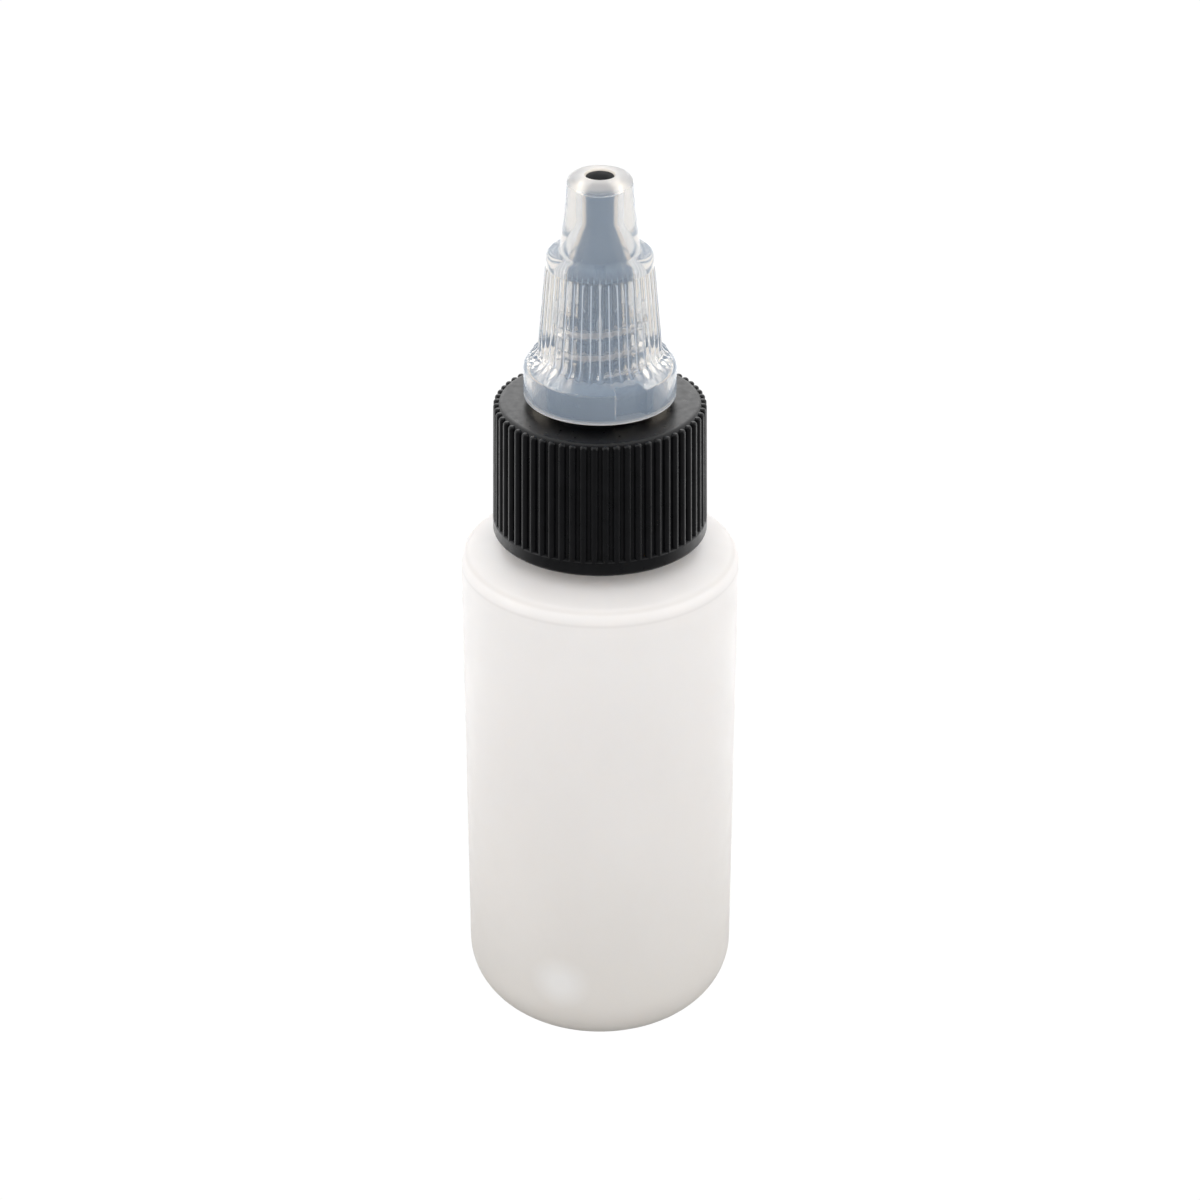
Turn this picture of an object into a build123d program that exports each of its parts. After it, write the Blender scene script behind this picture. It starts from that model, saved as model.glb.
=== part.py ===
from build123d import *
import os

# A squeeze dropper bottle, closed. It has a round bottle with a screw neck, a liner washer,
# a ribbed screw closure with a spout post, and a tip that twists up the post to open.
# Millimetres. The origin is the centre of the base, and +Z runs up the bottle's axis.

os.makedirs("parts", exist_ok=True)

FRONT_ANGLE = -90  # degrees about Z: the side of the object that faces -Y
EMBED = 0.3  # how far a ridge or a lug is sunk into the wall that it grows from

# ---- bottle ----
BODY_R = 15.0
WALL = 0.95
HEEL_R = 6.6
BASE_RING_W = 0.8
PUSH_UP_H = 1.3
PUSH_UP_R = 5.4
SHOULDER_EDGE_Z = 56.9
SHOULDER_TOP_Z = 58.7
SHOULDER_CORNER_R = 1.6
NECK_TOP_Z = 72.4
NECK_ROOT_R = 8.75
NECK_BORE_R = 6.7
NECK_FOOT_R = 0.7
NECK_LIP_R = 0.35
PINCH_LENGTH = 9.0
PINCH_WIDTH = 0.5
PINCH_H = 0.35

# ---- neck thread, size 20-410 ----
NECK_PITCH = 25.4 / 8
NECK_THREAD_CREST_R = 9.8
NECK_THREAD_TURNS = 1.5
NECK_THREAD_START_Z = 64.6
THREAD_ROOT_W = 1.3
THREAD_CREST_W = 0.7

# ---- liner ----
LINER_T = 0.8
LINER_OUTER_R = 9.5
LINER_INNER_R = 4.2

# ---- closure ----
CLOSURE_BOTTOM_Z = 59.6
CLOSURE_TOP_Z = 74.6
CLOSURE_INNER_R = 10.05
CLOSURE_THREAD_CREST_R = 9.0
CLOSURE_THREAD_TURNS = 1.5
BAND_R = 11.5
BAND_H = 1.6
RIB_CREST_TOP_R = 11.25
RIB_R = 0.42
RIB_TOP_GAP = 0.15
RIB_COUNT = 60
RIB_START_ANGLE = 3.0
CLOSURE_EDGE_R = 0.4
RIM_EDGE_R = 0.65

# ---- spout post, on the closure ----
COLLAR_R = 5.65
COLLAR_TOP_Z = 77.6
POST_R = 3.4
POST_TOP_Z = 89.5
SEAL_BEAD_R = 3.45
SEAL_BEAD_Z = 87.4
SEAL_BEAD_H = 0.8
CONE_FOOT_R = 3.12
CONE_TOP_Z = 94.5
PIN_R = 1.47
PIN_EDGE_Z = 99.6
PIN_TOP_Z = 99.95
PIN_EDGE_R = 0.15
PASSAGE_R = 1.7
PASSAGE_TOP_Z = 90.9
PORT_R = 0.55
PORT_Z = 90.1
PORT_COUNT = 4

# ---- twist thread, between the post and the tip ----
TWIST_PITCH = 2.5
POST_THREAD_CREST_R = 4.35
POST_THREAD_TURNS = 2.0
TIP_THREAD_CREST_R = 3.62
TIP_THREAD_START_Z = 78.95
TIP_THREAD_TURNS = 2.25
TWIST_ROOT_W = 0.95
TWIST_CREST_W = 0.6

# ---- tip ----
TIP_BOTTOM_Z = 75.4
TIP_TOP_Z = 99.8
FLANGE_R = 8.02
FLANGE_INNER_R = 7.2
FLANGE_CORNER_Z = 79.0
FLANGE_CORNER_R = 1.1
FLANGE_CEILING_Z = 78.4
SKIRT_FOOT_R = 6.22
SKIRT_FOOT_Z = 80.45
SKIRT_BLEND_R = 1.2
SKIRT_TOP_R = 5.34
RIB_BAND_Z = 90.1
SHOULDER_R = 5.62
SHOULDER_Z = 91.5
SHOULDER_BLEND_R = 0.95
NOZZLE_FOOT_R = 4.2
NOZZLE_FOOT_Z = 91.7
NOZZLE_FOOT_BLEND_R = 0.2
NOZZLE_WAIST = (3.63, 96.1)
NOZZLE_TOP_R = 3.32
TIP_BORE_R = 4.6
TIP_BORE_TOP_Z = 85.8
TIP_SEAL_R = 3.55
TIP_SEAL_FOOT_Z = 86.9
TIP_SEAL_TOP_Z = 89.9
NOZZLE_BORE_R = 1.85
NOZZLE_BORE_FOOT_Z = 94.6
ORIFICE_R = 1.55
ORIFICE_FOOT_Z = 98.1
NOZZLE_LIP_R = 0.95
TIP_RIB_R = 0.3
TIP_RIB_COUNT = 40
TIP_RIB_END = (7.3, 79.58)
SEAM_Z = 91.0

# ---- stop lugs, which end the tip's turn both ways ----
TIP_LUG_FROM = 13.0
TIP_LUG_ANGLE = 27.0
TIP_LUG_INNER_R = 5.95
TIP_LUG_BOTTOM_Z = 75.6
POST_LUG_GAP = 1.5
POST_LUG_ANGLE = 45.0
POST_LUG_R = 7.0
POST_LUG_TOP_Z = 78.1


def corner(section, r, z):
    """The vertex of a section that lies nearest to radius r and height z."""
    return section.vertices().sort_by_distance((r, z, 0))[0]


def helical_ridge(root_r, crest_r, root_w, crest_w, pitch, turns, start_z, start_angle):
    """A screw thread's ridge: a trapezoid on a helix. It stands out if crest_r is above root_r, else in."""
    outward = 1 if crest_r > root_r else -1
    crest = crest_r - root_r
    foot = -outward * EMBED
    with BuildPart() as ridge:
        with BuildLine() as path:
            Helix(pitch, pitch * turns, root_r, center=(0, 0, start_z))
        with BuildSketch(Plane(path.line @ 0, x_dir=(1, 0, 0), z_dir=path.line % 0)):
            with BuildLine():
                Polyline(
                    (foot, -root_w / 2),
                    (crest, -crest_w / 2),
                    (crest, crest_w / 2),
                    (foot, root_w / 2),
                    close=True,
                )
            make_face()
        sweep(is_frenet=True)
    return Rot(0, 0, start_angle) * ridge.part


def arc_block(inner_r, outer_r, bottom_z, top_z, from_angle, angle):
    """A block bent round the axis, from from_angle through angle degrees."""
    with BuildPart() as block:
        with BuildSketch(Plane.XY.offset(bottom_z)):
            with BuildLine():
                outer = CenterArc((0, 0), outer_r, from_angle, angle)
                inner = CenterArc((0, 0), inner_r, from_angle, angle)
                Line(outer @ 0, inner @ 0)
                Line(outer @ 1, inner @ 1)
            make_face()
        extrude(amount=top_z - bottom_z)
    return block.part


# ---------------------------------------------------------------- bottle

neck_thread = helical_ridge(
    NECK_ROOT_R,
    NECK_THREAD_CREST_R,
    THREAD_ROOT_W,
    THREAD_CREST_W,
    NECK_PITCH,
    NECK_THREAD_TURNS,
    NECK_THREAD_START_Z,
    FRONT_ANGLE,
)

ring_outer_r = BODY_R - HEEL_R
ring_inner_r = ring_outer_r - BASE_RING_W
cavity_r = BODY_R - WALL
cavity_shoulder_z = SHOULDER_EDGE_Z - WALL

with BuildPart() as bottle:
    with BuildSketch(Plane.XZ) as bottle_section:
        with BuildLine():
            Polyline(
                (0, PUSH_UP_H),
                (PUSH_UP_R, PUSH_UP_H),
                (ring_inner_r, 0),
                (ring_outer_r, 0),
            )
            TangentArc((ring_outer_r, 0), (BODY_R, HEEL_R), tangent=(1, 0))
            Polyline(
                (BODY_R, HEEL_R),
                (BODY_R, SHOULDER_EDGE_Z),
                (NECK_ROOT_R, SHOULDER_TOP_Z),
                (NECK_ROOT_R, NECK_TOP_Z),
                (NECK_BORE_R, NECK_TOP_Z),
                (NECK_BORE_R, SHOULDER_TOP_Z),
                (cavity_r, cavity_shoulder_z),
                (cavity_r, HEEL_R),
            )
            TangentArc((ring_outer_r, WALL), (cavity_r, HEEL_R), tangent=(1, 0))
            Polyline(
                (ring_outer_r, WALL),
                (ring_inner_r, WALL),
                (PUSH_UP_R, PUSH_UP_H + WALL),
                (0, PUSH_UP_H + WALL),
                (0, PUSH_UP_H),
            )
        make_face()
        fillet(corner(bottle_section, BODY_R, SHOULDER_EDGE_Z), SHOULDER_CORNER_R)
        fillet(corner(bottle_section, cavity_r, cavity_shoulder_z), SHOULDER_CORNER_R - WALL)
        fillet(corner(bottle_section, NECK_ROOT_R, SHOULDER_TOP_Z), NECK_FOOT_R)
        fillet(corner(bottle_section, NECK_ROOT_R, NECK_TOP_Z), NECK_LIP_R)
        fillet(corner(bottle_section, PUSH_UP_R, PUSH_UP_H), PUSH_UP_H / 2)
    revolve(axis=Axis.Z)
    add(neck_thread)
    with BuildSketch(Plane.XY.offset(PUSH_UP_H + EMBED)):
        SlotOverall(PINCH_LENGTH, PINCH_WIDTH)
    extrude(amount=-PINCH_H - EMBED)

bottle.part.label = "bottle"
export_step(bottle.part, "parts/bottle.step")

# ---------------------------------------------------------------- liner

with BuildPart() as neck_liner:
    with BuildSketch(Plane.XY.offset(NECK_TOP_Z)):
        Circle(LINER_OUTER_R)
        Circle(LINER_INNER_R, mode=Mode.SUBTRACT)
    extrude(amount=LINER_T)

neck_liner.part.label = "neck_liner"
export_step(neck_liner.part, "parts/neck_liner.step")

# ---------------------------------------------------------------- closure

ceiling_z = NECK_TOP_Z + LINER_T
band_top_z = CLOSURE_BOTTOM_Z + BAND_H
rib_foot = Vector(BAND_R - RIB_R, 0, band_top_z - RIB_R)
rib_head = Vector(RIB_CREST_TOP_R - RIB_R, 0, CLOSURE_TOP_Z - RIB_TOP_GAP)

closure_thread = helical_ridge(
    CLOSURE_INNER_R,
    CLOSURE_THREAD_CREST_R,
    THREAD_ROOT_W,
    THREAD_CREST_W,
    NECK_PITCH,
    CLOSURE_THREAD_TURNS,
    NECK_THREAD_START_Z - NECK_PITCH / 2,
    FRONT_ANGLE,
)

post_thread = helical_ridge(
    POST_R,
    POST_THREAD_CREST_R,
    TWIST_ROOT_W,
    TWIST_CREST_W,
    TWIST_PITCH,
    POST_THREAD_TURNS,
    TIP_THREAD_START_Z + TWIST_PITCH / 2,
    FRONT_ANGLE,
)

tip_lug_from = FRONT_ANGLE + TIP_LUG_FROM
post_lug = arc_block(
    COLLAR_R - EMBED,
    POST_LUG_R,
    CLOSURE_TOP_Z - EMBED,
    POST_LUG_TOP_Z,
    tip_lug_from - POST_LUG_GAP - POST_LUG_ANGLE,
    POST_LUG_ANGLE,
)

with BuildPart() as closure_rib:
    with BuildSketch(Plane(rib_foot, x_dir=(0, 1, 0), z_dir=rib_head - rib_foot)):
        Circle(RIB_R)
    extrude(amount=(rib_head - rib_foot).length)
    fillet(closure_rib.edges().sort_by(Axis.Z)[-1], RIB_R * 0.8)

with BuildPart() as closure_base:
    with BuildSketch(Plane.XZ) as closure_section:
        with BuildLine():
            Polyline(
                (CLOSURE_INNER_R, CLOSURE_BOTTOM_Z),
                (BAND_R, CLOSURE_BOTTOM_Z),
                (BAND_R, band_top_z),
                (rib_foot.X, band_top_z + RIB_R / 2),
                (rib_head.X, CLOSURE_TOP_Z),
                (COLLAR_R, CLOSURE_TOP_Z),
                (COLLAR_R, COLLAR_TOP_Z),
                (POST_R, COLLAR_TOP_Z),
                (POST_R, SEAL_BEAD_Z),
                (SEAL_BEAD_R, SEAL_BEAD_Z),
                (SEAL_BEAD_R, SEAL_BEAD_Z + SEAL_BEAD_H),
                (POST_R, SEAL_BEAD_Z + SEAL_BEAD_H),
                (POST_R, POST_TOP_Z),
                (CONE_FOOT_R, POST_TOP_Z),
                (PIN_R, CONE_TOP_Z),
                (PIN_R, PIN_EDGE_Z),
            )
            TangentArc((0, PIN_TOP_Z), (PIN_R, PIN_EDGE_Z), tangent=(1, 0))
            Polyline(
                (0, PIN_TOP_Z),
                (0, PASSAGE_TOP_Z),
                (PASSAGE_R, PASSAGE_TOP_Z),
                (PASSAGE_R, ceiling_z),
                (CLOSURE_INNER_R, ceiling_z),
                (CLOSURE_INNER_R, CLOSURE_BOTTOM_Z),
            )
        make_face()
        fillet(corner(closure_section, rib_head.X, CLOSURE_TOP_Z), RIM_EDGE_R)
        fillet(corner(closure_section, BAND_R, CLOSURE_BOTTOM_Z), CLOSURE_EDGE_R)
        fillet(corner(closure_section, BAND_R, band_top_z), CLOSURE_EDGE_R / 2)
        fillet(corner(closure_section, PIN_R, CONE_TOP_Z), PIN_R)
        fillet(corner(closure_section, PIN_R, PIN_EDGE_Z), PIN_EDGE_R)
        fillet(corner(closure_section, COLLAR_R, COLLAR_TOP_Z), CLOSURE_EDGE_R / 2)
    revolve(axis=Axis.Z)
    with PolarLocations(0, RIB_COUNT, start_angle=RIB_START_ANGLE):
        add(closure_rib.part)
    add(closure_thread)
    add(post_thread)
    add(post_lug)
    for port in range(PORT_COUNT):
        port_axis = Vector(1, 0, 0).rotate(Axis.Z, FRONT_ANGLE + port * 360 / PORT_COUNT)
        with BuildSketch(Plane((0, 0, PORT_Z), z_dir=port_axis)):
            Circle(PORT_R)
        extrude(amount=POST_R, mode=Mode.SUBTRACT)

closure_base.part.label = "closure_base"
export_step(closure_base.part, "parts/closure_base.step")

# ---------------------------------------------------------------- tip

tip_thread = helical_ridge(
    TIP_BORE_R,
    TIP_THREAD_CREST_R,
    TWIST_ROOT_W,
    TWIST_CREST_W,
    TWIST_PITCH,
    TIP_THREAD_TURNS,
    TIP_THREAD_START_Z,
    FRONT_ANGLE,
)

tip_lug = arc_block(
    TIP_LUG_INNER_R,
    FLANGE_INNER_R + EMBED,
    TIP_LUG_BOTTOM_Z,
    FLANGE_CEILING_Z + EMBED,
    tip_lug_from,
    TIP_LUG_ANGLE,
)

# The tip is one turned shape. A seam plane parts it into the smooth nozzle and the ribbed skirt.
with BuildPart() as tip_body:
    with BuildSketch(Plane.XZ) as tip_section:
        with BuildLine():
            Polyline(
                (FLANGE_INNER_R, TIP_BOTTOM_Z),
                (FLANGE_R, TIP_BOTTOM_Z),
                (FLANGE_R, FLANGE_CORNER_Z),
                (SKIRT_FOOT_R, SKIRT_FOOT_Z),
                (SKIRT_TOP_R, RIB_BAND_Z),
                (SHOULDER_R, RIB_BAND_Z),
                (SHOULDER_R, SHOULDER_Z),
                (NOZZLE_FOOT_R, NOZZLE_FOOT_Z),
            )
            ThreePointArc((NOZZLE_FOOT_R, NOZZLE_FOOT_Z), NOZZLE_WAIST, (NOZZLE_TOP_R, TIP_TOP_Z))
            Polyline(
                (NOZZLE_TOP_R, TIP_TOP_Z),
                (ORIFICE_R, TIP_TOP_Z),
                (ORIFICE_R, ORIFICE_FOOT_Z),
                (NOZZLE_BORE_R, ORIFICE_FOOT_Z),
                (NOZZLE_BORE_R, NOZZLE_BORE_FOOT_Z),
                (TIP_SEAL_R, TIP_SEAL_TOP_Z),
                (TIP_SEAL_R, TIP_SEAL_FOOT_Z),
                (TIP_BORE_R, TIP_BORE_TOP_Z),
                (TIP_BORE_R, FLANGE_CEILING_Z),
                (FLANGE_INNER_R, FLANGE_CEILING_Z),
                (FLANGE_INNER_R, TIP_BOTTOM_Z),
            )
        make_face()
        fillet(corner(tip_section, FLANGE_R, FLANGE_CORNER_Z), FLANGE_CORNER_R)
        fillet(corner(tip_section, SKIRT_FOOT_R, SKIRT_FOOT_Z), SKIRT_BLEND_R)
        fillet(corner(tip_section, FLANGE_R, TIP_BOTTOM_Z), CLOSURE_EDGE_R / 2)
        fillet(corner(tip_section, SHOULDER_R, SHOULDER_Z), SHOULDER_BLEND_R)
        fillet(corner(tip_section, NOZZLE_FOOT_R, NOZZLE_FOOT_Z), NOZZLE_FOOT_BLEND_R)
        fillet(corner(tip_section, NOZZLE_TOP_R, TIP_TOP_Z), NOZZLE_LIP_R)
    revolve(axis=Axis.Z)

with BuildPart() as tip_nozzle:
    add(tip_body.part)
    split(bisect_by=Plane.XY.offset(SEAM_Z), keep=Keep.TOP)

tip_nozzle.part.label = "tip_nozzle"
export_step(tip_nozzle.part, "parts/tip_nozzle.step")

with BuildPart() as tip_rib:
    with BuildLine(Plane.XZ) as rib_path:
        FilletPolyline(
            (SKIRT_TOP_R, RIB_BAND_Z), (SKIRT_FOOT_R, SKIRT_FOOT_Z), TIP_RIB_END, radius=SKIRT_BLEND_R
        )
    with BuildSketch(Plane(rib_path.wire() @ 0, x_dir=(0, 1, 0), z_dir=rib_path.wire() % 0)):
        Circle(TIP_RIB_R)
    sweep()
    fillet(tip_rib.edges().sort_by(Axis.Z)[0], TIP_RIB_R * 0.8)

with BuildPart() as tip_skirt:
    add(tip_body.part)
    split(bisect_by=Plane.XY.offset(SEAM_Z), keep=Keep.BOTTOM)
    with PolarLocations(0, TIP_RIB_COUNT):
        add(tip_rib.part)
    add(tip_thread)
    add(tip_lug)

tip_skirt.part.label = "tip_skirt"
export_step(tip_skirt.part, "parts/tip_skirt.step")
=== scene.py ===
"""A translucent dropper bottle with a black ribbed closure and a twist-up tip, in a plain studio."""

import math

import bmesh
import bpy
import numpy as np
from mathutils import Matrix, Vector, noise


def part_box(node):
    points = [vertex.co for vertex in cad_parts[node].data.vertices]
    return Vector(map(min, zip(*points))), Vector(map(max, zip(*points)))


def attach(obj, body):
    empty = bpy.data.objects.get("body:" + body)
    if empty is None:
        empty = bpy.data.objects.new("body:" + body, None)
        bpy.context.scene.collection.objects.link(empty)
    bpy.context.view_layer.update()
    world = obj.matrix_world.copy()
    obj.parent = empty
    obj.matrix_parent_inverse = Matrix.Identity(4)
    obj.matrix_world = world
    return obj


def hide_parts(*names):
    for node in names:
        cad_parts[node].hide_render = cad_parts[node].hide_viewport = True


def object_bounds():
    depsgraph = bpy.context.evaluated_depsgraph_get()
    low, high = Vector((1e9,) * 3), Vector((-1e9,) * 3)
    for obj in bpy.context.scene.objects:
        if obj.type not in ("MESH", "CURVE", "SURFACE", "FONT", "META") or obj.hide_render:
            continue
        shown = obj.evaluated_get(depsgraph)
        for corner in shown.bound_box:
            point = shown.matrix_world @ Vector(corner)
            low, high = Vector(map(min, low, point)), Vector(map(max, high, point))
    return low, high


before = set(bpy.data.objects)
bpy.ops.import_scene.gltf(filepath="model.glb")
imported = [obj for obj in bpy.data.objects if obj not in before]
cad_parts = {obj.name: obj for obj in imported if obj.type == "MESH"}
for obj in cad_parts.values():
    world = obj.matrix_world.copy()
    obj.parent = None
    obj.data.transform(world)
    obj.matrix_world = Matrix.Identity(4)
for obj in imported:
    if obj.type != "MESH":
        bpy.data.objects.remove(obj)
CAD_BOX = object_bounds()

MM = 0.001
FRONT = -math.pi / 2  # the side of the object that faces -Y

# ---- what the frame says, in metres ----
BODY_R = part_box("bottle")[1].x
NECK_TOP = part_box("bottle")[1].z
TIP_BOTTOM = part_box("tip_skirt")[0].z
TIP_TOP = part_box("tip_nozzle")[1].z
FLANGE_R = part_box("tip_skirt")[1].x


# ------------------------------------------------------------------ outlines


def rounded(corners, steps=10):
    """Points (r, z) of an outline whose corners are (r, z, blend radius), with each blend as an arc."""
    points = [np.array(corners[0][:2])]
    for before, here, after in zip(corners, corners[1:], corners[2:]):
        p, q, s = (np.array(c[:2]) for c in (before, here, after))
        if here[2] == 0:
            points.append(q)
            continue
        u = (p - q) / np.linalg.norm(p - q)
        v = (s - q) / np.linalg.norm(s - q)
        half = math.acos(np.clip(u @ v, -1, 1)) / 2
        centre = q + (u + v) / np.linalg.norm(u + v) * here[2] / math.sin(half)
        start = q + u * here[2] / math.tan(half)
        end = q + v * here[2] / math.tan(half)
        a0 = math.atan2(*(start - centre)[::-1])
        a1 = math.atan2(*(end - centre)[::-1])
        turn = (a1 - a0 + math.pi) % (2 * math.pi) - math.pi
        for a in np.linspace(a0, a0 + turn, steps):
            points.append(centre + here[2] * np.array((math.cos(a), math.sin(a))))
    points.append(np.array(corners[-1][:2]))
    return np.array(points)


def refined(points, step):
    """The same outline with no gap between points longer than step, a number or a function of (r, z)."""
    fine = [points[0]]
    for a, b in zip(points, points[1:]):
        longest = step((a + b) / 2) if callable(step) else step
        pieces = max(1, math.ceil(np.linalg.norm(b - a) / longest))
        fine.extend(a + (b - a) * (np.arange(1, pieces + 1) / pieces)[:, None])
    return np.array(fine)


def angles(count, extra=()):
    """count even angles round the axis, with finer ones within a few degrees of each extra angle."""
    base = np.linspace(0, 2 * math.pi, count, endpoint=False)
    near = [e + np.radians(np.linspace(-2, 2, 17)) for e in extra]
    every = np.concatenate([base, *near]) % (2 * math.pi)
    return np.unique(np.round(every, 5))


def lathe(name, rings, theta, closed):
    """A mesh of rings, an array (ring, angle, 3). closed joins the last ring to the first, else each end
    is closed with a fan at the axis."""
    mesh = bpy.data.meshes.new(name)
    build = bmesh.new()
    grid = [[build.verts.new(p) for p in ring] for ring in rings]
    pairs = list(zip(grid, grid[1:])) + ([(grid[-1], grid[0])] if closed else [])
    count = len(theta)
    for low, high in pairs:
        for i in range(count):
            j = (i + 1) % count
            build.faces.new((low[i], low[j], high[j], high[i]))
    if not closed:
        for ring, flip in ((grid[0], True), (grid[-1], False)):
            centre = sum((v.co for v in ring), Vector()) / count
            hub = build.verts.new(centre)
            for i in range(count):
                j = (i + 1) % count
                build.faces.new((ring[j], ring[i], hub) if flip else (ring[i], ring[j], hub))
    bmesh.ops.recalc_face_normals(build, faces=build.faces)
    build.to_mesh(mesh)
    build.free()
    mesh.polygons.foreach_set("use_smooth", np.ones(len(mesh.polygons), bool))
    piece = bpy.data.objects.new(name, mesh)
    bpy.context.scene.collection.objects.link(piece)
    return piece


def spin(outline, theta):
    """The outline turned round the axis: arrays of radius, height and angle, each (ring, angle)."""
    r = np.repeat(outline[:, :1], len(theta), axis=1)
    z = np.repeat(outline[:, 1:], len(theta), axis=1)
    return r, z, np.repeat(theta[None, :], len(outline), axis=0)


def rings_of(r, z, a):
    return np.stack([r * np.cos(a), r * np.sin(a), z], axis=-1)


def smoothstep(x, low, high):
    t = np.clip((x - low) / (high - low), 0, 1)
    return t * t * (3 - 2 * t)


def thread_height(z, a, start_z, pitch, turns, root_w, crest_w):
    """How much of its full height a screw ridge has at height z and angle a: 1 on its crest, 0 off."""
    turned = (a - FRONT) % (2 * math.pi) / (2 * math.pi)
    height = np.zeros_like(z)
    for whole in range(math.ceil(turns) + 1):
        along = turned + whole
        off = np.abs(z - (start_z + pitch * along))
        flank = 1 - smoothstep(off, crest_w / 2, root_w / 2)
        ends = smoothstep(along, 0, 0.03) * (1 - smoothstep(along, turns - 0.03, turns))
        height = np.maximum(height, flank * ends * (along <= turns))
    return height


# ------------------------------------------------------------------ bottle

WALL = 0.95 * MM
HEEL_R = 6.6 * MM
PUSH_UP_H = 1.3 * MM
PUSH_UP_R = 5.4 * MM
RING_OUTER_R = BODY_R - HEEL_R
RING_INNER_R = RING_OUTER_R - 0.8 * MM
SHOULDER_EDGE_Z = 56.9 * MM
SHOULDER_TOP_Z = 58.7 * MM
# painted shade along the shoulder's crease: each dark line's height, and how strongly it shows
SHOULDER_CREASE_SHADES = ((56.9 * MM, 0.6), (55.6 * MM, 0.35))
# the centre of a painted pool of light, a paler round spot low on the front
LIGHT_SPOT_CENTRE = (-4.4 * MM, -14.0 * MM, 9.6 * MM)
NECK_ROOT_R = 8.75 * MM
NECK_BORE_R = 6.7 * MM
NECK_THREAD_H = 1.05 * MM
NECK_PITCH = 25.4 / 8 * MM
NECK_THREAD_START_Z = 64.6 * MM


def quarter(centre_r, centre_z, radius, start, end, steps):
    """Points of an arc from start to end, angles measured up from straight down."""
    turn = np.linspace(start, end, steps)
    return np.stack([centre_r + radius * np.sin(turn), centre_z - radius * np.cos(turn)], axis=1)


def bottle_outlines():
    """The bottle's outside, from the middle of the base to the lip, and its inside, back down."""
    heel_top = HEEL_R + 0.5 * MM
    lip_r = (NECK_ROOT_R + NECK_BORE_R) / 2
    base = rounded(
        [
            (0.15 * MM, PUSH_UP_H, 0),
            (PUSH_UP_R, PUSH_UP_H, PUSH_UP_H / 2),
            (RING_INNER_R, 0, 0.35 * MM),
            (RING_OUTER_R, 0, 0),
        ],
        6,
    )
    heel = quarter(RING_OUTER_R, HEEL_R, HEEL_R, 0.03, math.pi / 2, 24)
    side = rounded(
        [
            (BODY_R, heel_top, 0),
            (BODY_R, SHOULDER_EDGE_Z, 1.6 * MM),
            (NECK_ROOT_R, SHOULDER_TOP_Z, 0.7 * MM),
            (NECK_ROOT_R, NECK_TOP, 0.35 * MM),
            (lip_r, NECK_TOP, 0),
        ],
        9,
    )
    bore = rounded(
        [
            (lip_r - 0.1 * MM, NECK_TOP, 0),
            (NECK_BORE_R, NECK_TOP, 0.2 * MM),
            (NECK_BORE_R, SHOULDER_TOP_Z, 1.2 * MM),
            (BODY_R - WALL, SHOULDER_EDGE_Z - WALL, 0.9 * MM),
            (BODY_R - WALL, heel_top, 0),
        ],
        9,
    )
    inner_heel = quarter(RING_OUTER_R, HEEL_R, HEEL_R - WALL, math.pi / 2, 0.03, 18)
    inner_base = rounded(
        [
            (RING_OUTER_R, WALL, 0),
            (RING_INNER_R, WALL, 0.3 * MM),
            (PUSH_UP_R, PUSH_UP_H + WALL, 0.6 * MM),
            (0.15 * MM, PUSH_UP_H + WALL, 0),
        ],
        6,
    )

    def step(p):
        in_thread = NECK_THREAD_START_Z - 2 * MM < p[1] < NECK_TOP - 1 * MM and p[0] > lip_r
        in_base = p[1] < PUSH_UP_H + 0.01 * MM and p[0] < PUSH_UP_R
        return 0.16 * MM if in_thread or in_base else 2.2 * MM

    outside = refined(np.concatenate([base, heel, side]), step)
    inside = refined(np.concatenate([bore, inner_heel, inner_base]), 2.2 * MM)
    return outside, inside


def bottle_shell():
    """The blow-moulded bottle: outside, neck thread, bore and inside wall, with its mould lines."""
    outside, inside = bottle_outlines()
    theta = angles(256, extra=(0, math.pi))
    r, z, a = spin(np.concatenate([outside, inside]), theta)
    out = (np.arange(len(r)) < len(outside))[:, None]
    on_neck = out & (np.abs(r - NECK_ROOT_R) < 0.01 * MM)
    thread = thread_height(z, a, NECK_THREAD_START_Z, NECK_PITCH, 1.5, 1.5 * MM, 0.6 * MM)
    r = r + np.where(on_neck, thread * NECK_THREAD_H, 0)
    # the mould's two halves leave a fine line up each side
    side = np.abs(np.sin(a)) * BODY_R
    line = np.exp(-((side / (0.12 * MM)) ** 2))
    on_side = out & (r > RING_OUTER_R) & (z < SHOULDER_EDGE_Z)
    r = r - np.where(on_side, line * 0.03 * MM, 0)
    # the weld across the pushed-up base, where the mould pinched the tube shut
    across = 1 - smoothstep(np.abs(r * np.sin(a)), 0.12 * MM, 0.34 * MM)
    weld = across * (1 - smoothstep(np.abs(r * np.cos(a)), 4.1 * MM, 4.6 * MM))
    in_base = out & (z < PUSH_UP_H + 0.01 * MM) & (r < PUSH_UP_R)
    z = z - np.where(in_base, weld * 0.35 * MM, 0)
    # the blown wall is a little uneven inside
    uneven = ~out & (z < SHOULDER_EDGE_Z - WALL) & (z > HEEL_R)
    for i, k in zip(*np.nonzero(uneven)):
        at = Vector((math.cos(a[i, k]) * 1.4, math.sin(a[i, k]) * 1.4, z[i, k] / (14 * MM)))
        r[i, k] += noise.noise(at) * 0.12 * MM
    return lathe("bottle_shell", rings_of(r, z, a), theta, closed=False)


# ------------------------------------------------------------------ tip

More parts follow.
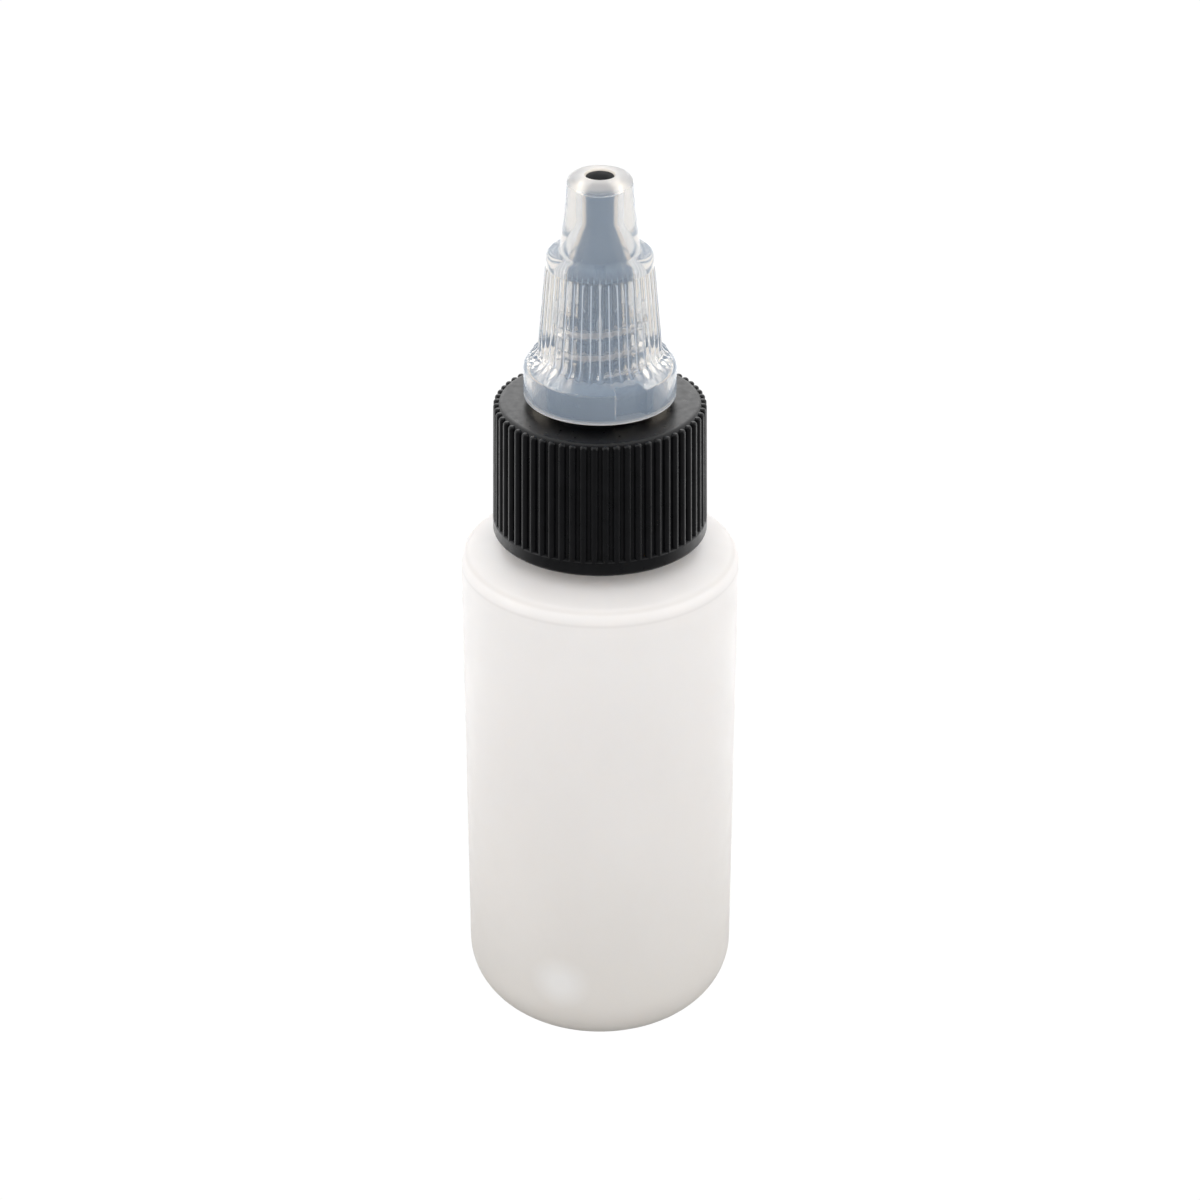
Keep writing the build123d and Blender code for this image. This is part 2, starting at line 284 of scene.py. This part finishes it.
FLANGE_INNER_R = 7.2 * MM
FLANGE_CORNER_Z = 79.0 * MM
CEILING_Z = 78.4 * MM
SKIRT_FOOT = (6.22 * MM, 80.45 * MM)
SKIRT_TOP_R = 5.34 * MM
RIB_BAND_Z = 90.1 * MM
SHOULDER = (5.62 * MM, 91.5 * MM)
NOZZLE_FOOT = (4.2 * MM, 91.7 * MM)
NOZZLE_WAIST = (3.63 * MM, 96.1 * MM)
NOZZLE_TOP_R = 3.32 * MM
LIP_BLEND = 0.95 * MM
ORIFICE_R = 1.55 * MM
ORIFICE_FOOT_Z = 98.1 * MM
NOZZLE_BORE_R = 1.85 * MM
NOZZLE_BORE_FOOT_Z = 94.6 * MM
SEAL_R = 3.55 * MM
SEAL_TOP_Z = 89.9 * MM
SEAL_FOOT_Z = 86.9 * MM
TIP_BORE_R = 4.6 * MM
TIP_BORE_TOP = 85.8 * MM
TWIST_PITCH = 2.5 * MM
TWIST_START_Z = 78.95 * MM
TWIST_TURNS = 2.25
TWIST_H = 0.98 * MM
TIP_RIBS = 40
RIB_H = 0.3 * MM
RIB_HALF_W = 0.34 * MM
RIB_END_R = 7.25 * MM
LUG_FROM = FRONT + math.radians(13)
LUG_ANGLE = math.radians(27)
LUG_INNER_R = 5.95 * MM
LUG_BOTTOM = 75.6 * MM


def arc_through(first, middle, last, heights):
    """Points (r, z) at these heights on the circle through three points, on the side nearer the axis."""
    (x0, y0), (x1, y1), (x2, y2) = first, middle, last
    s0, s1, s2 = x0 * x0 + y0 * y0, x1 * x1 + y1 * y1, x2 * x2 + y2 * y2
    d = 2 * (x0 * (y1 - y2) + x1 * (y2 - y0) + x2 * (y0 - y1))
    centre_r = (s0 * (y1 - y2) + s1 * (y2 - y0) + s2 * (y0 - y1)) / d
    centre_z = (s0 * (x2 - x1) + s1 * (x0 - x2) + s2 * (x1 - x0)) / d
    radius = math.hypot(x0 - centre_r, y0 - centre_z)
    return [(centre_r - math.sqrt(radius**2 - (h - centre_z) ** 2), h) for h in heights]


def tip_outline():
    """The tip's section, from under the flange up the outside, over the lip and down the inside."""
    tiny = 0.05 * MM
    heights = np.linspace(NOZZLE_FOOT[1] + MM, TIP_TOP - 2 * MM, 5)
    waist = arc_through(NOZZLE_FOOT, NOZZLE_WAIST, (NOZZLE_TOP_R, TIP_TOP), heights)
    corners = [
        (FLANGE_R - 8 * tiny, TIP_BOTTOM, 0),
        (FLANGE_R, TIP_BOTTOM, 0.2 * MM),
        (FLANGE_R, FLANGE_CORNER_Z, 1.1 * MM),
        (*SKIRT_FOOT, 1.2 * MM),
        (SKIRT_TOP_R, RIB_BAND_Z - 0.1 * MM, 0),
        (SHOULDER[0], RIB_BAND_Z, 0.05 * MM),
        (*SHOULDER, 0.95 * MM),
        (*NOZZLE_FOOT, 0.2 * MM),
        *((r, z, 0) for r, z in waist),
        (NOZZLE_TOP_R, TIP_TOP, LIP_BLEND),
        (ORIFICE_R, TIP_TOP, 0.12 * MM),
        (ORIFICE_R, ORIFICE_FOOT_Z, 0.1 * MM),
        (NOZZLE_BORE_R, ORIFICE_FOOT_Z, 0.1 * MM),
        (NOZZLE_BORE_R, NOZZLE_BORE_FOOT_Z, 1.5 * MM),
        (SEAL_R, SEAL_TOP_Z, 1.0 * MM),
        (SEAL_R, SEAL_FOOT_Z, 0.3 * MM),
        (TIP_BORE_R, TIP_BORE_TOP, 0.3 * MM),
        (TIP_BORE_R, CEILING_Z, 0.15 * MM),
        (LUG_INNER_R - 4 * tiny, CEILING_Z, 0),
        (FLANGE_INNER_R, CEILING_Z - tiny / 2, 0.15 * MM),
        (FLANGE_INNER_R, LUG_BOTTOM + tiny, 0),
        (FLANGE_INNER_R, LUG_BOTTOM, 0),
        (FLANGE_INNER_R, TIP_BOTTOM + tiny, 0),
        (FLANGE_INNER_R + tiny, TIP_BOTTOM, 0),
        (FLANGE_R - 10 * tiny, TIP_BOTTOM, 0),
    ]

    def step(p):
        in_thread = p[0] < TIP_BORE_R + tiny and CEILING_Z < p[1] < TIP_BORE_TOP
        return (0.14 if in_thread else 0.5) * MM

    return refined(rounded(corners, 8), step)


def tip_shell():
    """The twist tip in one piece: flange, ribbed skirt, nozzle and orifice, with its thread and lug."""
    outline = tip_outline()
    theta = np.linspace(0, 2 * math.pi, TIP_RIBS * 9, endpoint=False)
    r, z, a = spin(outline, theta)
    # the ribs stand out along the outline's normal, from the band at the top down onto the flare
    along = np.gradient(outline, axis=0)
    along /= np.linalg.norm(along, axis=1)[:, None]
    normal = np.stack([along[:, 1], -along[:, 0]], axis=1)
    skirt = np.arange(len(outline)) < np.argmax(outline[:, 1] > RIB_BAND_Z - 0.05 * MM)
    shown = 1 - smoothstep(outline[:, 0], RIB_END_R - 0.25 * MM, RIB_END_R + 0.25 * MM)
    shown = shown * skirt * (outline[:, 1] > FLANGE_CORNER_Z)
    pitch = 2 * math.pi / TIP_RIBS
    off = (a + pitch / 2) % pitch - pitch / 2
    across = np.clip(np.abs(off) * r / RIB_HALF_W, 0, 1)
    rise = np.sqrt(1 - across**2) * RIB_H * shown[:, None]
    r = r + normal[:, :1] * rise
    z = z + normal[:, 1:] * rise
    # the inside thread that climbs the spout post
    bore = (np.abs(r - TIP_BORE_R) < 0.02 * MM) & (z > CEILING_Z) & (z < TIP_BORE_TOP)
    thread = thread_height(z, a, TWIST_START_Z, TWIST_PITCH, TWIST_TURNS, 1.0 * MM, 0.5 * MM)
    r = r - np.where(bore, thread * TWIST_H, 0)
    # the stop lug, on the flange's inside wall
    in_lug = ((a - LUG_FROM) % (2 * math.pi) > 0) & ((a - LUG_FROM) % (2 * math.pi) < LUG_ANGLE)
    inner_wall = (r > LUG_INNER_R) & (r < FLANGE_INNER_R + 0.1 * MM) & ~skirt[:, None]
    inner_wall &= (z > LUG_BOTTOM + 0.02 * MM) & (z < CEILING_Z + 0.05 * MM)
    r = np.where(inner_wall & in_lug, LUG_INNER_R, r)
    return lathe("tip_shell", rings_of(r, z, a), theta, closed=True)


# ------------------------------------------------------------------ materials


def material(name, **settings):
    """A Principled material. settings are its sockets' plain values."""
    made = bpy.data.materials.new(name)
    made.use_nodes = True
    shader = made.node_tree.nodes["Principled BSDF"]
    for socket, value in settings.items():
        shader.inputs[socket.replace("_", " ")].default_value = value
    return made, shader


def add_node(made, kind, **inputs):
    node = made.node_tree.nodes.new(kind)
    for name, value in inputs.items():
        node.inputs[name.replace("_", " ")].default_value = value
    return node


def place(made, scale=(1, 1, 1)):
    """Object coordinates in metres, stretched by scale."""
    where = add_node(made, "ShaderNodeTexCoord")
    mapped = add_node(made, "ShaderNodeMapping", Scale=scale)
    made.node_tree.links.new(where.outputs["Object"], mapped.inputs["Vector"])
    return mapped.outputs["Vector"]


def grain(made, scale, detail=3.0, rough=0.5, stretch=(1, 1, 1)):
    """Noise at so many cells per metre."""
    node = add_node(made, "ShaderNodeTexNoise", Scale=scale, Detail=detail, Roughness=rough)
    made.node_tree.links.new(place(made, stretch), node.inputs["Vector"])
    return node.outputs["Fac"]


def remap(made, value, low, high, from_low=0.3, from_high=0.7):
    node = add_node(
        made, "ShaderNodeMapRange", From_Min=from_low, From_Max=from_high, To_Min=low, To_Max=high
    )
    made.node_tree.links.new(value, node.inputs["Value"])
    return node.outputs["Result"]


def blended(made, value, first, second):
    """A colour that goes from first to second as value goes from 0 to 1. Each may be a socket."""
    node = made.node_tree.nodes.new("ShaderNodeMix")
    node.data_type = "RGBA"
    made.node_tree.links.new(value, node.inputs["Factor"])
    slots = [s for s in node.inputs if s.type == "RGBA"]
    for slot, colour in zip(slots, (first, second)):
        if isinstance(colour, tuple):
            slot.default_value = (*colour, 1)
        else:
            made.node_tree.links.new(colour, slot)
    return next(s for s in node.outputs if s.type == "RGBA")


def bump(made, shader, layers):
    """Bumps layered on the shader: each is (height socket, depth in metres)."""
    last = None
    for height, depth in layers:
        node = add_node(made, "ShaderNodeBump", Strength=1.0, Distance=depth)
        made.node_tree.links.new(height, node.inputs["Height"])
        if last is not None:
            made.node_tree.links.new(last, node.inputs["Normal"])
        last = node.outputs["Normal"]
    made.node_tree.links.new(last, shader.inputs["Normal"])


def maths(made, operation, first, second=0.0):
    """A Math node's result. Each value is a number or a socket."""
    node = add_node(made, "ShaderNodeMath")
    node.operation = operation
    for slot, value in zip(node.inputs, (first, second)):
        if isinstance(value, (int, float)):
            slot.default_value = value
        else:
            made.node_tree.links.new(value, slot)
    return node.outputs[0]


def whereabouts(made):
    """Sockets with the object's x, y and z in metres."""
    split = add_node(made, "ShaderNodeSeparateXYZ")
    made.node_tree.links.new(place(made), split.inputs[0])
    return [split.outputs[axis] for axis in "XYZ"]


def bottle_plastic():
    """Natural high-density polyethylene: milky, waxy and faintly mottled by the blown wall. Painted
    shade makes it darker and a little warmer towards the base, and darker from the shoulder up, under
    the closure. Two faint dark lines of painted shade run round the shoulder's edge, and a paler round
    spot of painted light shows low on the front."""
    made, shader = material(
        "bottle_plastic",
        Subsurface_Weight=0.5,
        Subsurface_Radius=(1.0, 0.9, 0.8),
        Subsurface_Scale=0.004,
        Transmission_Weight=0.3,
        IOR=1.5,
        Specular_IOR_Level=0.4,
    )
    links = made.node_tree.links
    z = whereabouts(made)[2]
    mottle = remap(made, grain(made, 60, detail=4, stretch=(1, 1, 0.45)), 0, 1)
    # painted shade: the foot's darker, warmer colour stands in for the dimmer light low down
    shaded_foot = blended(made, mottle, (0.63, 0.59, 0.54), (0.66, 0.62, 0.57))
    wall = blended(made, mottle, (0.935, 0.885, 0.85), (0.965, 0.92, 0.89))
    # painted shade: from the shoulder up the wall is darkened for the closure's shadow
    shoulder = blended(made, mottle, (0.84, 0.80, 0.775), (0.87, 0.835, 0.81))
    # painted shade: the colour of the dark lines in the shoulder's crease
    ring = (0.72, 0.68, 0.65)
    # painted light: the colour of the pale round spot low on the front
    mark = (0.85, 0.82, 0.79)
    up = maths(made, "POWER", remap(made, z, 0, 1, 0, 50 * MM), 0.6)
    colour = blended(made, up, shaded_foot, wall)
    colour = blended(made, remap(made, z, 0, 1, 54.6 * MM, 56.6 * MM), colour, shoulder)
    # the painted shade lines in the crease
    for height, depth in SHOULDER_CREASE_SHADES:
        off = maths(made, "ABSOLUTE", maths(made, "SUBTRACT", z, height))
        colour = blended(made, remap(made, off, depth, 0, 0.05 * MM, 0.25 * MM), colour, ring)
    # the painted pool of light, fading out from its centre
    away = add_node(made, "ShaderNodeVectorMath")
    away.operation = "DISTANCE"
    away.inputs[1].default_value = LIGHT_SPOT_CENTRE
    links.new(place(made), away.inputs[0])
    near = remap(made, away.outputs["Value"], 1, 0, 1.0 * MM, 3.6 * MM)
    links.new(blended(made, near, colour, mark), shader.inputs["Base Color"])
    links.new(remap(made, grain(made, 400, detail=4), 0.36, 0.5), shader.inputs["Roughness"])
    bump(made, shader, [(grain(made, 2600, detail=3), 0.000004), (grain(made, 240, detail=2), 0.00002)])
    return made


def rib_crest_glints(made, x, y, z):
    """1 along the crest of each of the tip's ribs and 0 between them: where the painted highlights on
    the ribs go.
    """
    turn = maths(made, "MULTIPLY", maths(made, "ARCTAN2", y, x), TIP_RIBS / (2 * math.pi))
    off = maths(made, "ABSOLUTE", maths(made, "SUBTRACT", maths(made, "FRACT", turn), 0.5))
    crest = remap(made, off, 0, 1, 0.38, 0.5)
    above_flare = remap(made, z, 0, 1, 79.6 * MM, 81.0 * MM)
    under_band = remap(made, z, 1, 0, RIB_BAND_Z - 0.3 * MM, RIB_BAND_Z)
    return maths(made, "MULTIPLY", crest, maths(made, "MULTIPLY", above_flare, under_band))


def thread_crest_glints(made, x, y, z):
    """1 on the crest of the tip's inside thread and 0 off it: where the painted highlights on the thread
    go.
    """
    squares = maths(made, "ADD", maths(made, "POWER", x, 2), maths(made, "POWER", y, 2))
    radius = maths(made, "SQRT", squares)
    inside = remap(made, radius, 1, 0, TIP_BORE_R - 0.7 * TWIST_H, TIP_BORE_R - 0.4 * TWIST_H)
    return maths(made, "MULTIPLY", inside, remap(made, z, 1, 0, TIP_BORE_TOP, TIP_BORE_TOP + 0.2 * MM))


def tip_plastic():
    """Natural low-density polyethylene: what passes through it turns a little warm, and over dark it
    shows a soft bluish haze. Painted highlights make it paler along the ribs, the thread, the flange's
    edge and the frosted lip, and the nozzle is less clear than the skirt."""
    made, clear = material("tip_plastic", Transmission_Weight=1.0, IOR=1.3)
    nodes = made.node_tree.nodes
    links = made.node_tree.links
    x, y, z = whereabouts(made)
    at_lip = remap(made, z, 0, 1, 98.5 * MM, 99.4 * MM)
    on_nozzle = remap(made, z, 0, 1, 90.4 * MM, 92.0 * MM)
    # painted highlight along the flange's bottom edge
    flange_edge_glint = remap(made, z, 1, 0, TIP_BOTTOM + 0.1 * MM, TIP_BOTTOM + 0.35 * MM)
    cloud = remap(made, grain(made, 260, detail=3), 0, 1)
    links.new(blended(made, cloud, (0.955, 0.845, 0.70), (0.98, 0.88, 0.74)), clear.inputs["Base Color"])
    rough = remap(made, grain(made, 900, detail=3), 0.04, 0.08)
    rough = maths(made, "ADD", rough, maths(made, "MULTIPLY", on_nozzle, 0.11))
    rough = maths(made, "ADD", rough, maths(made, "MULTIPLY", at_lip, 0.2))
    links.new(rough, clear.inputs["Roughness"])
    bump(made, clear, [(grain(made, 1500, detail=3), 0.000003)])
    # painted highlights: paler haze on the lip, the flange's edge, the rib crests and the thread crests
    painted_glints = maths(made, "MAXIMUM", maths(made, "MULTIPLY", at_lip, 0.3), flange_edge_glint)
    painted_glints = maths(made, "MAXIMUM", painted_glints, maths(made, "MULTIPLY", rib_crest_glints(made, x, y, z), 0.8))
    painted_glints = maths(made, "MAXIMUM", painted_glints, thread_crest_glints(made, x, y, z))
    haze = nodes.new("ShaderNodeBsdfPrincipled")
    haze.inputs["Specular IOR Level"].default_value = 0.0
    veil = blended(made, cloud, (0.55, 0.70, 0.90), (0.60, 0.75, 0.96))
    # painted highlight: where it is painted, the haze turns pale grey-white
    white = maths(made, "MAXIMUM", painted_glints, at_lip)
    links.new(blended(made, white, veil, (0.84, 0.83, 0.84)), haze.inputs["Base Color"])
    milky = nodes.new("ShaderNodeMixShader")
    # more haze where the highlights are painted
    links.new(maths(made, "ADD", 0.19, maths(made, "MULTIPLY", painted_glints, 0.35)), milky.inputs[0])
    links.new(clear.outputs[0], milky.inputs[1])
    links.new(haze.outputs[0], milky.inputs[2])
    links.new(milky.outputs[0], nodes["Material Output"].inputs["Surface"])
    return made


def closure_plastic():
    """Black polypropylene, moulded semi-gloss, with a matt gate mark on the end of the pin."""
    made, shader = material("closure_plastic", IOR=1.49, Specular_IOR_Level=0.3)
    links = made.node_tree.links
    cloud = remap(made, grain(made, 500, detail=4), 0, 1)
    black = blended(made, cloud, (0.0016, 0.0017, 0.0022), (0.0034, 0.0036, 0.0045))
    links.new(black, shader.inputs["Base Color"])
    gate = remap(made, whereabouts(made)[2], 0, 0.5, 99.0 * MM, 99.6 * MM)
    rough = maths(made, "ADD", remap(made, grain(made, 1300, detail=4), 0.26, 0.4), gate)
    links.new(rough, shader.inputs["Roughness"])
    bump(made, shader, [(grain(made, 3200, detail=4), 0.000006), (grain(made, 420, detail=2), 0.00001)])
    return made


def liner_foam():
    """White closed-cell foam."""
    made, shader = material("liner_foam", Roughness=0.8)
    links = made.node_tree.links
    cells = add_node(made, "ShaderNodeTexVoronoi", Scale=3500)
    links.new(place(made), cells.inputs["Vector"])
    rim = remap(made, cells.outputs["Distance"], 0, 1, 0, 1)
    links.new(blended(made, rim, (0.82, 0.82, 0.8), (0.95, 0.95, 0.93)), shader.inputs["Base Color"])
    bump(made, shader, [(cells.outputs["Distance"], 0.00008)])
    return made


# ------------------------------------------------------------------ the object

bottle = bottle_shell()
bottle.data.materials.append(bottle_plastic())
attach(bottle, "bottle")
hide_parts("bottle")

tip = tip_shell()
tip.data.materials.append(tip_plastic())
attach(tip, "tip")
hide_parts("tip_nozzle", "tip_skirt")


def dress(node, made):
    """Gives a CAD node its material."""
    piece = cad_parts[node]
    piece.data.materials.clear()
    piece.data.materials.append(made)


dress("closure_base", closure_plastic())
dress("neck_liner", liner_foam())

# ------------------------------------------------------------------ studio

FLOOR_HALF = 3.0
SEEN_WHITE = 1.02
FLOOR_BOUNCE = 0.5
# front and back values: of the tent's light, and of what the floor and the tent show in the gloss
TENT_LIT = (1.75, 1.2)
TENT_MIRRORED = (0.12, 1.6)
FLOOR_MIRRORED = (0.12, 1.0)
# where they change from front to back: the direction's y for the tent, metres of y for the floor
TENT_SPAN = (-0.9, 0.5)
FLOOR_SPAN = (-0.05, 0.06)
# the camera's angle in degrees, the rest in metres and its lens in millimetres
CAMERA_DOWN = 29.1
CAMERA_DISTANCE = 0.3261
CAMERA_AIM_Z = 0.05052
CAMERA_LENS = 89.64


def ray_is(tree, *kinds):
    """1 for rays of any of these kinds, as Light Path names them, else 0."""
    path = tree.nodes.new("ShaderNodeLightPath")
    found = path.outputs[f"Is {kinds[0]} Ray"]
    for kind in kinds[1:]:
        either = tree.nodes.new("ShaderNodeMath")
        either.operation = "MAXIMUM"
        tree.links.new(found, either.inputs[0])
        tree.links.new(path.outputs[f"Is {kind} Ray"], either.inputs[1])
        found = either.outputs[0]
    return found


def switch(tree, factor, off, on):
    """A number: off where factor is 0 and on where it is 1. Each of them may be a socket."""
    node = tree.nodes.new("ShaderNodeMix")
    node.data_type = "FLOAT"
    tree.links.new(factor, node.inputs["Factor"])
    for name, value in (("A", off), ("B", on)):
        if isinstance(value, (int, float)):
            node.inputs[name].default_value = value
        else:
            tree.links.new(value, node.inputs[name])
    return node.outputs["Result"]


def ramp(tree, y, span, ends):
    """A smooth ramp over a span of y, nearest the camera first, between two numbers."""
    node = tree.nodes.new("ShaderNodeMapRange")
    node.interpolation_type = "SMOOTHSTEP"
    for name, number in zip(("From Min", "From Max", "To Min", "To Max"), (*span, *ends)):
        node.inputs[name].default_value = number
    tree.links.new(y, node.inputs["Value"])
    return node.outputs["Result"]


def floor_material():
    """A pale floor that looks clean and even to the eye, throws a softer light on the object and
    mirrors dimly in its gloss."""
    made, shader = material("floor", Roughness=0.9, Specular_IOR_Level=0.1)
    tree = made.node_tree
    where = tree.nodes.new("ShaderNodeTexCoord")
    split = tree.nodes.new("ShaderNodeSeparateXYZ")
    tree.links.new(where.outputs["Object"], split.inputs[0])
    mirrored = ramp(tree, split.outputs["Y"], FLOOR_SPAN, FLOOR_MIRRORED)
    bounce = switch(tree, ray_is(tree, "Glossy"), FLOOR_BOUNCE, mirrored)
    tree.links.new(bounce, shader.inputs["Base Color"])
    glow = tree.nodes.new("ShaderNodeEmission")
    glow.inputs["Strength"].default_value = SEEN_WHITE
    mix = tree.nodes.new("ShaderNodeMixShader")
    tree.links.new(ray_is(tree, "Camera", "Transmission"), mix.inputs[0])
    tree.links.new(shader.outputs[0], mix.inputs[1])
    tree.links.new(glow.outputs[0], mix.inputs[2])
    tree.links.new(mix.outputs[0], tree.nodes["Material Output"].inputs["Surface"])
    return made


def floor():
    mesh = bpy.data.meshes.new("floor")
    half = FLOOR_HALF
    z = CAD_BOX[0].z
    corners = [(-half, -half, z), (half, -half, z), (half, half, z), (-half, half, z)]
    mesh.from_pydata(corners, [], [(0, 1, 2, 3)])
    made = bpy.data.objects.new("floor", mesh)
    bpy.context.scene.collection.objects.link(made)
    mesh.materials.append(floor_material())


def soft_box(name, azimuth, elevation, distance, size, radiance, aim):
    """A soft box seen from aim at an azimuth from the front and an elevation, in degrees. Its size is
    (width, height) in metres, and its face gives off radiance."""
    data = bpy.data.lights.new(name, "AREA")
    data.shape = "RECTANGLE"
    data.size, data.size_y = size
    data.energy = radiance * math.pi * size[0] * size[1]
    a = FRONT + math.radians(azimuth)
    e = math.radians(elevation)
    made = bpy.data.objects.new(name, data)
    bpy.context.scene.collection.objects.link(made)
    made.location = aim + distance * Vector(
        (math.cos(a) * math.cos(e), math.sin(a) * math.cos(e), math.sin(e))
    )
    made.rotation_euler = (aim - made.location).to_track_quat("-Z", "Y").to_euler()
    made.visible_camera = False


def tent():
    """A light tent, white all round to the eye, whose front shows dark in the gloss."""
    world = bpy.data.worlds.new("studio")
    bpy.context.scene.world = world
    world.use_nodes = True
    tree = world.node_tree
    where = tree.nodes.new("ShaderNodeTexCoord")
    split = tree.nodes.new("ShaderNodeSeparateXYZ")
    tree.links.new(where.outputs["Generated"], split.inputs[0])
    lit = ramp(tree, split.outputs["Y"], TENT_SPAN, TENT_LIT)
    mirrored = ramp(tree, split.outputs["Y"], TENT_SPAN, TENT_MIRRORED)
    strength = switch(tree, ray_is(tree, "Glossy"), lit, mirrored)
    strength = switch(tree, ray_is(tree, "Camera", "Transmission"), strength, SEEN_WHITE)
    tree.links.new(strength, tree.nodes["Background"].inputs["Strength"])
    tree.nodes["Background"].inputs["Color"].default_value = (1, 1, 1, 1)


def studio():
    middle = (CAD_BOX[0] + CAD_BOX[1]) / 2
    tent()
    soft_box("left_box", -75, 12, 0.4, (0.09, 0.3), 3.2, middle)
    soft_box("right_box", 75, 12, 0.4, (0.09, 0.3), 3.2, middle)
    soft_box("back_box", 180, 30, 0.55, (0.5, 0.24), 1.2, middle)
    soft_box("top_box", 0, 72, 0.45, (0.35, 0.3), 0.4, middle)


def camera():
    """From the front and above, with a long lens."""
    pitch = math.radians(CAMERA_DOWN)
    distance = CAMERA_DISTANCE
    aim = Vector((0, 0, CAMERA_AIM_Z))
    data = bpy.data.cameras.new("camera")
    data.lens = CAMERA_LENS
    data.sensor_width = 36
    made = bpy.data.objects.new("camera", data)
    bpy.context.scene.collection.objects.link(made)
    made.location = aim + distance * Vector((0, -math.cos(pitch), math.sin(pitch)))
    made.rotation_euler = (math.pi / 2 - pitch, 0, 0)
    data.clip_start = 0.01
    bpy.context.scene.camera = made


floor()
studio()
camera()
bpy.context.scene.view_settings.view_transform = "Standard"
